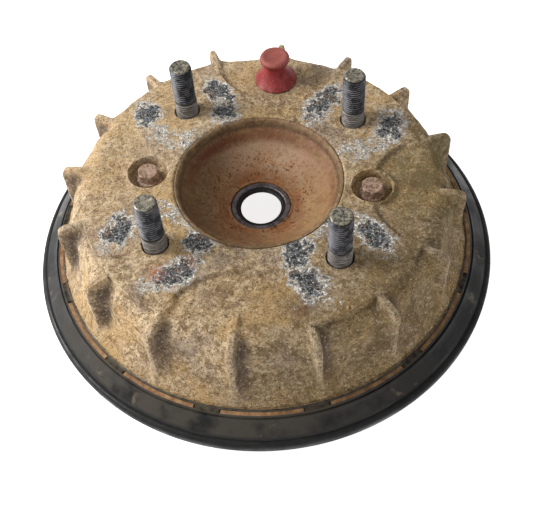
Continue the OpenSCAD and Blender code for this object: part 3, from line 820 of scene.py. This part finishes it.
# Painted shade with red rust: dark red on the left wall, which faces away from the lamp.
tone = rust.lay(tone, "#5f321f", 0.95, rust.mark("red_band"), rust.step(stains, 0.26, 0.46))
print("nodes so far:", len(rust.tree.nodes))

# %% Lip and pits of the hub
tone = rust.lay(tone, "#8b7859", 0.75, rust.mark("lip"), rust.step(mottle, 0.36, 0.60))
tone = rust.lay(tone, "#5c4731", 0.6, rust.mark("lip"), rust.step(stains, 0.55, 0.42))
tone = rust.lay(tone, "#4a3624", 0.7, rust.mark("groove"), rust.step(stains, 0.25, 0.5))
tone = rust.lay(tone, "#b79c76", 0.32, rust.step(sand, 0.58, 0.68))
tone = rust.lay(tone, "#4a3420", 0.5, rust.step(sand, 0.42, 0.36))
tone = rust.lay(tone, "#5a351c", 0.65, rust.mark("pitted"), rust.step(mottle, 0.55, 0.61))
pit_share = rust.times(rust.mark("pitted"), rust.step(stains, 0.38, 0.52), 0.9)
rust.colour(rust.mix(rust.times(pit_share, rust.step(spatter, 0.57, 0.63)), tone, "#40260f"))
rust.relief((stains, 0.3), (mottle, 0.22), (sand, 0.14))
dress(hub, rust)

# %% [markdown]
# Wheel studs are rolled steel with an M10 thread, whose pitch is 1.25 mm. A narrow neck ends it,
# and below the neck a shallower thread on a thicker foot goes on down into the hole. A helix can
# be made with a Screw modifier, but here each point's radius simply follows a wave that climbs
# with the angle, which keeps the whole stud one closed mesh.

# %% One threaded stud
pitch = 1.25
thread_depth = 0.8
stud_radius = 5.0
stud_top = (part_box("wheel_studs")[1].z - pad_height) / MM
thread_low = 8.6
thread_foot = -0.9
row_gap = 0.15
foot_share = 0.45


def thread_rows():
    """One stud: its head in the hub, then the thread, then the chamfer and the dimpled end."""
    heights = np.concatenate([[-21.4, -17.6, -17.5, -17.45],
                              np.arange(thread_foot - row_gap, stud_top - 1.0, row_gap),
                              [stud_top - 0.95, stud_top - 0.5, stud_top - 0.12, stud_top,
                               stud_top, stud_top - 0.25]])
    angle = round_angles(64)
    radius = np.full((len(heights), len(angle)), stud_radius)
    wave = (heights[:, None] / pitch - angle[None, :] / (2 * math.pi)) % 1
    groove = np.clip(1.35 * (1 - np.abs(2 * wave - 1)) - 0.2, 0, 1)
    strength = foot_share + (1 - foot_share) * ease(heights, thread_low - 0.4, thread_low + 0.9)
    strength *= ease(heights, thread_foot - 0.1, thread_foot + 0.6)
    radius -= thread_depth * groove * strength[:, None]
    chamfer = stud_radius + np.minimum(stud_top - 0.9 - heights, 0)
    radius = np.minimum(radius, chamfer[:, None])
    radius[heights < thread_low - 0.7] += 0.22
    radius -= 0.45 * hump(heights, thread_low - 0.9, 0.3)[:, None]
    radius[:2] = 8.0
    radius[2:4] = 5.3
    radius[-3], radius[-2], radius[-1] = 3.9, 3.4, 2.9
    return np.stack([radius * np.cos(angle), radius * np.sin(angle),
                     np.repeat(heights[:, None], len(angle), 1)], -1)


stud_rows = thread_rows()
print("thread rows:", len(stud_rows), "top of the stud at", round(stud_top, 1), "mm")

# %% Four studs on their circle
turn_between = 1.9
studs = [stitch("stud", set_at(stud_rows, x, y, number * turn_between), joined=False)
         for number, (x, y) in enumerate(stud_places)]
stud_set = fit(lay_down(gather(studs, "wheel_stud_set"), 50), "drum", "stud_steel", "wheel_studs")
x, y, stud_z, _, _ = spots_on(stud_set)
off_stud = np.min([np.hypot(x - a, y - b) for a, b in stud_places], axis=0)
upper_part = ease(stud_z, 8.0, 9.0)
write_marks(
    stud_set,
    groove=ease(-off_stud, -4.8, -4.4) * upper_part,
    # Rubbed crests with a painted highlight on them.
    thread_crest=ease(off_stud, 4.8, 4.98) * upper_part,
    low_groove=ease(-off_stud, -5.15, -4.9) * (1 - upper_part),
    shoulder=ease(-stud_z, -8.4, -7.6),
    run_out=hump(stud_z, 7.7, 0.35),
    tip=ease(stud_z, stud_top - 0.7, stud_top - 0.3))

# %% [markdown]
# The studs are the darkest metal here: blued steel, near black in the thread grooves, brighter on
# the crests where nuts have rubbed them and a highlight is painted, with a paler grey foot and dirt
# on the tip.

# %% Finish of the studs
blued = Finish("blued_stud_steel", roughness=0.45, metallic=0.5)
smear = blued.clouds(4, detail=5)
scratch = blued.clouds(0.9, detail=4, rough=0.7, place=blued.stretched(0.25, 0.25, 1.4))
grit = blued.clouds(1.0, detail=4, rough=0.75)
tone = blued.mix(blued.step(smear, 0.38, 0.62), "#2f3034", "#545459")
# Painted highlight and rub: the thread crests are painted brighter.
tone = blued.lay(tone, "#8c8b90", 0.7, blued.mark("thread_crest"), blued.step(smear, 0.4, 0.6))
tone = blued.mix(blued.mark("groove"), tone, "#0d0c0c")
shoulder = blued.mix(blued.step(scratch, 0.38, 0.62), "#5f5b58", "#a5a09a")
tone = blued.mix(blued.mark("shoulder"), tone, shoulder)
tone = blued.lay(tone, "#3c3834", 0.8, blued.mark("low_groove"))
tone = blued.mix(blued.mark("run_out"), tone, "#1a1715")
tip = blued.mix(blued.step(grit, 0.44, 0.56), "#4a4740", "#a19a88")
tone = blued.mix(blued.mark("tip"), tone, tip)
dirt = blued.times(blued.step(grit, 0.57, 0.64), 0.6)
blued.colour(blued.mix(dirt, tone, "#7a6d5c"))
blued.roughness(blued.step(smear, 0.3, 0.7), 0.35, 0.62)
blued.relief((smear, 0.08), (grit, 0.08), (scratch, 0.04))
dress(stud_set, blued)

# %% [markdown]
# Two hexagon flange bolts hold the drum to the hub. A hexagon can be turned like any other outline
# if the radius at each angle is that of a flat-sided shape. The chamfer on top of a real bolt is a
# cone that cuts the hexagon's corners, so each row takes the smaller of cone and hexagon.

# %% Drum bolts
def hexagon(angle, half_flats):
    """Radius at each angle of a hexagon with slightly rounded corners."""
    off = (angle + math.pi / 6) % (math.pi / 3) - math.pi / 6
    return np.minimum(half_flats / np.cos(off), half_flats * 1.135)


half_flats = 4.3
cone_radius = 4.75
bolt_plan = [(2.95, -11.8, "round"), (2.95, 0, "round"), (5.9, 0, "round"), (6.05, 0.35, "round"),
             (5.9, 0.9, "round"), (5.4, 1.45, "round"), (half_flats, 1.6, "flats"),
             (half_flats, 4.6, "flats"), (half_flats, 5.3, "cone"), (4.4, 5.75, "round"),
             (4.0, 5.9, "round"), (3.1, 5.7, "round"), (1.0, 5.62, "round")]


def bolt_rows():
    """One bolt from its plan of (radius, height above the seat, what that row is)."""
    angle = round_angles(96)
    rows = turned([(radius, bolt_seat + height) for radius, height, _ in bolt_plan], angle)
    for row, (_, _, kind) in zip(rows, bolt_plan):
        if kind != "round":
            radius = hexagon(angle, half_flats)
            if kind == "cone":
                radius = np.minimum(radius, cone_radius)
            row[:, 0] = radius * np.cos(angle)
            row[:, 1] = radius * np.sin(angle)
    return rows


bolts = [stitch("bolt", set_at(bolt_rows(), side * bolt_spot, 0, start), joined=False)
         for side, start in ((-1, 0.35), (1, 0.1))]
bolt_pair = fit(lay_down(gather(bolts, "drum_bolt_pair"), 30), "drum", "rusty_bolt", "drum_bolts")

# %% [markdown]
# The bolts are steel that has rusted brown and caught the same tan dust as the drum. Two tones in
# small patches, pale grains and a few dark pits are enough at this size, so they need no marks.

# %% Finish of the drum bolts
bolt_rust = Finish("dusty_rusted_bolt", roughness=0.7, metallic=0.2)
blots = bolt_rust.clouds(3.2, detail=6, rough=0.65)
sand = bolt_rust.clouds(0.7, detail=4, rough=0.7)
tone = bolt_rust.mix(bolt_rust.step(blots, 0.4, 0.6), "#6c4f40", "#9d836f")
tone = bolt_rust.mix(bolt_rust.step(sand, 0.52, 0.64), tone, "#c0a88c")
bolt_rust.colour(bolt_rust.mix(bolt_rust.step(sand, 0.40, 0.32), tone, "#38241b"))
bolt_rust.relief((blots, 0.10), (sand, 0.10))
dress(bolt_pair, bolt_rust)

# %% [markdown]
# A rubber seal ring grips the open edge of the drum and keeps water out. Its outline has a ledge
# with windows, two small ridges, a wide sloping band, a groove and a thick round lip. Where
# a window is, the ledge is simply lowered, so that the steel band under it shows.

# %% Water seal ring
window_count = 13
bridge_width = 11.7
window_depth = 2.4
ledge_radius = 96
ring_angle = round_angles(936)
slot = 2 * math.pi / window_count
off_bridge = np.abs(ring_angle % slot - slot / 2) * ledge_radius
window = ease(off_bridge, bridge_width / 2 - 0.25, bridge_width / 2 + 0.15)
lip_centre = (105.0, -45.9)
ring_outline = ([(92.85, -44.4), (92.85, -35.8), (93.1, -35.55), (94.4, -35.55), (94.75, -35.75),
                 (95.0, -36.0), (95.05, -36.1), (96.65, -36.1), (96.7, -36.05), (97.1, -36.3),
                 (97.4, -36.8), (97.55, -37.3), (97.85, -37.25), (98.1, -36.95), (98.45, -37.1),
                 (98.75, -37.7), (99.3, -38.3), (101.2, -40.0), (103.2, -41.8), (104.1, -42.7),
                 (104.35, -43.3), (104.6, -43.75), (105.0, -43.75)]
                + bow(lip_centre, 2.2, 82, 0, 9)
                + [(107.15, -46.8), (107.0, -48.2), (106.5, -49.2), (105.8, -49.6), (104.2, -49.6),
                   (103.6, -48), (102.5, -45.2), (97.6, -41.2), (97.4, -43.5), (96.6, -45),
                   (93.4, -45)])
ledge_rows = slice(6, 8)
slope_rows = slice(16, -4)
ring_rows = turned(ring_outline, ring_angle)
ring_rows[ledge_rows, :, 2] -= window * window_depth
sag = 0.35 * np.sin(3 * ring_angle + 1.0) + 0.25 * np.sin(5 * ring_angle)
ring_rows[slope_rows, :, 2] += sag * 0.5
seal_ring = lay_down(stitch("water_seal_ring", ring_rows), 50)
fit(seal_ring, "drum", "seal_rubber", "drum_seal_ring")
_, _, _, ring_r, ring_heading = spots_on(seal_ring)
muddiest = -100
write_marks(
    seal_ring,
    ledge=ease(-ring_r, -97.2, -96.7),
    slope=ease(ring_r, 98.9, 99.8) * ease(-ring_r, -104.2, -103.2),
    muddy=ease(-turn_from(ring_heading, muddiest), -75, -20) * ease(-ring_r, -104.5, -103))

# %% [markdown]
# Old rubber is charcoal rather than black: rubbed dust greys the slope, mud dries in thin tongues
# on it, and the outer lip stays darker.

# %% Finish of the water seal ring
seal = Finish("dusty_black_rubber", roughness=0.55, specular=0.28)
film = seal.clouds(16, detail=5)
rub = seal.clouds(3, detail=5, rough=0.65)
tongue = seal.clouds(13, detail=5, rough=0.6, twist=0.8)
speck = seal.clouds(0.9, detail=4, rough=0.7)
tone = seal.mix(seal.step(rub, 0.35, 0.65), "#0b0b0b", "#171716")
tone = seal.lay(tone, "#242322", 0.5, seal.mark("slope"), seal.step(film, 0.40, 0.66))
tone = seal.lay(tone, "#3f3931", 0.8, seal.mark("muddy"), seal.step(film, 0.32, 0.56))
tone = seal.lay(tone, "#50483b", 0.8, seal.mark("ledge"), seal.step(rub, 0.35, 0.6))
mud = seal.times(seal.step(tongue, 0.60, 0.66), seal.step(rub, 0.38, 0.55), 0.55)
tone = seal.mix(seal.times(mud, seal.mark("slope")), tone, "#6f6250")
seal.colour(seal.lay(tone, "#5e5648", 0.35, seal.step(speck, 0.62, 0.72)))
seal.roughness(seal.step(film, 0.35, 0.65), 0.38, 0.7)
seal.relief((rub, 0.12), (speck, 0.06))
dress(seal_ring, seal)

# %% [markdown]
# The inspection plug is a red rubber mushroom: a wide foot on the drum face, a waist to grip and
# a knob with a shallow dimple. It is pushed into its hole, and rides on a body of its own, because
# it is pulled out to reach the adjusters.

# %% Inspection plug
foot = -recess_depth
knob_middle = (5.3, foot + 13.1)
waist = []
for share in np.linspace(0, 1, 13):
    narrowing = math.sin(math.radians(88 * share)) ** 0.85
    waist.append((9.6 - 4.75 * narrowing, foot + 1.3 + 8.3 * share))
plug_outline = ([(0.01, -12), (5.4, -12), (6.3, -11.2), (6.3, foot), (9.6, foot),
                 (10.0, foot + 0.2), (10.15, foot + 0.6), (9.95, foot + 1.0)]
                + waist + bow(knob_middle, 1.8, -62, 84, 14)
                + [(5.0, foot + 14.85), (4.3, foot + 14.6), (3.0, foot + 14.35),
                   (1.6, foot + 14.25), (0.01, foot + 14.2)])
plug_rows = turned(plug_outline, round_angles(96))
plug_rows[4:-1] = roughen(plug_rows[4:-1], 0.05, 4.0, 6)
plug_rows = set_at(plug_rows, *plug_place)
plug = lay_down(stitch("inspection_plug_knob", plug_rows, joined=False), 45)
fit(plug, "plug", "red_rubber", "inspection_plug")
_, _, plug_z, _, _ = spots_on(plug)
write_marks(
    plug,
    sun=ease(plug_z, foot + 12, foot + 14.6),
    base=ease(-plug_z, -foot - 3, -foot - 0.5))
print("plug top at", round(plug_rows[..., 2].max(), 1), "mm")

# %% [markdown]
# Red rubber fades on top, where the sun reaches it, and holds dust round its foot. Both follow the
# height, so two marks carry them, and the rest is cloudy red with pale and dark specks.

# %% Finish of the plug
red = Finish("faded_red_rubber", roughness=0.6, specular=0.35)
film = red.clouds(5, detail=5, rough=0.6)
speck = red.clouds(0.9, detail=4, rough=0.7)
tone = red.mix(red.step(film, 0.38, 0.62), "#7c2422", "#98383a")
tone = red.lay(tone, "#93574c", 0.7, red.mark("sun"))
tone = red.lay(tone, "#8a6a55", 0.5, red.mark("base"), red.step(film, 0.4, 0.6))
tone = red.lay(tone, "#b5776b", 0.35, red.step(speck, 0.57, 0.66))
red.colour(red.lay(tone, "#481614", 0.6, red.step(speck, 0.42, 0.34)))
red.relief((film, 0.15), (speck, 0.06))
dress(plug, red)

# %% [markdown]
# The pieces below keep the shape that CAD gave them, because that shape is right: the steel ring and
# its rubber lip in the dish, the band in the seal, and the whole brake inside the drum. What they
# need is a surface. Most are the same story told in other colours: a base in two
# tones, a stain that breaks it up, and specks of dirt or rust, so one recipe takes those as values.

# %% A recipe for worn surfaces
def worn(name, light, dark, stain, speck, roughness, metallic=0.0, size=6.0, stain_share=0.6,
         lines=None, specular=0.5):
    """A two-tone finish with stains and specks. lines=(x, y, z) stretches fine tool marks."""
    made = Finish(name, roughness=roughness, metallic=metallic, specular=specular)
    broad = made.clouds(size, detail=5, rough=0.6)
    blots = made.clouds(size * 0.45, detail=6, rough=0.65, twist=0.3)
    grit = made.clouds(0.8, detail=4, rough=0.7)
    tone = made.mix(made.step(broad, 0.36, 0.64), dark, light)
    tone = made.lay(tone, stain, stain_share, made.step(blots, 0.52, 0.64))
    tone = made.lay(tone, speck, 0.6, made.step(grit, 0.56, 0.70))
    made.colour(tone)
    made.roughness(made.step(blots, 0.3, 0.7), roughness - 0.1, min(roughness + 0.12, 1.0))
    layers = [(blots, 0.12), (grit, 0.06)]
    if lines:
        tool_marks = made.clouds(1.2, detail=3, place=made.stretched(*lines))
        layers.append((tool_marks, 0.08))
    made.relief(*layers)
    print(name, "of", len(made.tree.nodes), "nodes")
    return made


# %% Finishes for the carried pieces
carried = {
    "cast_iron": worn("turned_cast_iron", "#6b6863", "#4a4743", "#7a5236", "#8f6a48", 0.5, 0.5,
                      lines=(0.02, 0.02, 1.6)),
    "seal_steel": worn("dark_seal_steel", "#5c5457", "#2e2a2e", "#43301f", "#8a6a50", 0.40, 0.4,
                       size=3),
    "black_rubber": worn("black_moulded_rubber", "#151515", "#0a0a0a", "#1c1a17", "#353029", 0.6,
                         size=4, stain_share=0.4, specular=0.2),
    "rusty_band": worn("rusty_steel_band", "#a07e56", "#75563a", "#8a4c20", "#4b331f", 0.8,
                       0.1, size=4),
    "plate_aluminium": worn("dusty_cast_plate", "#8d8982", "#6f6b64", "#8a7556", "#4e4638", 0.7,
                            0.25, size=12),
    "cylinder_iron": worn("rusty_cylinder_iron", "#70655a", "#514941", "#7b4f33", "#3a3029", 0.68,
                          0.3),
    "zinc_steel": worn("aged_zinc_plate", "#a8a18c", "#878069", "#8c6c48", "#5d4b36", 0.45, 0.7,
                       size=3, stain_share=0.45),
    "pipe_steel": worn("painted_steel_pipe", "#4d5350", "#363b39", "#6b4a30", "#7c6a52", 0.5,
                       0.1, size=5),
    "spring_steel": worn("dark_spring_wire", "#5c5c5e", "#3f3f42", "#6d4a33", "#27231f", 0.4, 0.7,
                         size=2.5),
    "shoe_steel": worn("worn_black_shoe_paint", "#3a3733", "#262422", "#6f4429", "#8a7a66", 0.55,
                       0.2, size=8),
    "friction_lining": worn("moulded_friction_block", "#3b342c", "#2a2520", "#4a4033", "#8a6a3c",
                            0.85, size=2.5),
    "piston_aluminium": worn("turned_piston_aluminium", "#aaaaad", "#8e8e92", "#7b7468",
                             "#605a52", 0.3, 0.85, size=5, lines=(1.6, 0.02, 0.02)),
}
slot_of = {row["node"]: row["material_slot"] for row in frame["record"]["subparts"]}
remade = {"brake_drum", "wheel_hub", "wheel_studs", "drum_bolts", "drum_seal_ring",
          "inspection_plug"}
for name, node in frame["nodes"].items():
    if name not in remade:
        dress(node, carried[slot_of[name]])
print(len(frame["nodes"]) - len(remade), "carried pieces dressed")

# %% [markdown]
# The scene is a studio table: a pale floor, a soft sky and one soft lamp close by on the
# left, with a weak one in front so that the shadows stay open. The floor gives off a little
# light of its own, which keeps it pale right through the hub's hole.

# %% Pale floor
floor_mesh = bpy.data.meshes.new("floor")
floor_half = 3.0
floor_height = -0.0005
corners = [(a * floor_half, b * floor_half, floor_height)
           for a, b in ((-1, -1), (1, -1), (1, 1), (-1, 1))]
floor_mesh.from_pydata(corners, [], [(0, 1, 2, 3)])
floor = show("floor", floor_mesh)
paper = Finish("pale_floor", roughness=0.9, specular=0.1)
paper.colour("#f4f4f4")
white_light = (1, 1, 1, 1)
paper.shader.inputs["Emission Color"].default_value = white_light
paper.shader.inputs["Emission Strength"].default_value = 0.8
dress(floor, paper)

# %% Soft sky and lamps
world = bpy.data.worlds.new("soft_sky")
world.use_nodes = True
sky = world.node_tree.nodes["Background"]
sky.inputs["Color"].default_value = white_light
sky.inputs["Strength"].default_value = 0.50
bpy.context.scene.world = world
bpy.context.scene.view_settings.view_transform = "Standard"


def lamp(name, place, watts, size, towards):
    """A square soft lamp at a place, in metres, turned to look at a point."""
    light = bpy.data.lights.new(name, "AREA")
    light.energy = watts
    light.size = size
    holder = show(name, light)
    holder.location = place
    gaze = Vector(towards) - Vector(place)
    holder.rotation_mode = "QUATERNION"
    holder.rotation_quaternion = gaze.to_track_quat("-Z", "Y")
    print(name, "is", round(gaze.length, 2), "m from the drum")


middle = (0.0, 0.0, pad_height)
lamp("key_lamp", (-0.56, -0.02, 0.44), 6.1, 0.30, middle)
lamp("fill_lamp", (0.30, -0.85, 0.75), 1.0, 0.7, middle)

# %% [markdown]
# The camera looks down at the pads at about 55 degrees, from close by, so that the near rim
# is clearly larger than the far one. It is placed by the two angles that it looks along, its
# distance and a small roll, because each of those can be changed without upsetting the others.

# %% Camera
turn, rise, roll = (math.radians(a) for a in (11.27, 54.53, -5.14))
camera_distance = 0.3613
camera_target = Vector((8.5 * MM, -39.9 * MM, pad_height))
back = Vector((math.sin(turn) * math.cos(rise), -math.cos(turn) * math.cos(rise),
               math.sin(rise)))
camera = bpy.data.cameras.new("camera")
camera.lens = 59.0
camera.sensor_width = 36.0
camera.clip_start = 0.01
tripod = show("camera", camera)
tripod.location = camera_target + back * camera_distance
tripod.rotation_mode = "QUATERNION"
tripod.rotation_quaternion = (-back).to_track_quat("-Z", "Y") @ Quaternion((0, 0, 1), roll)
bpy.context.scene.camera = tripod
print("camera at", [round(part, 3) for part in tripod.location], "m")

# %% [markdown]
# New surfaces must not have changed the size.
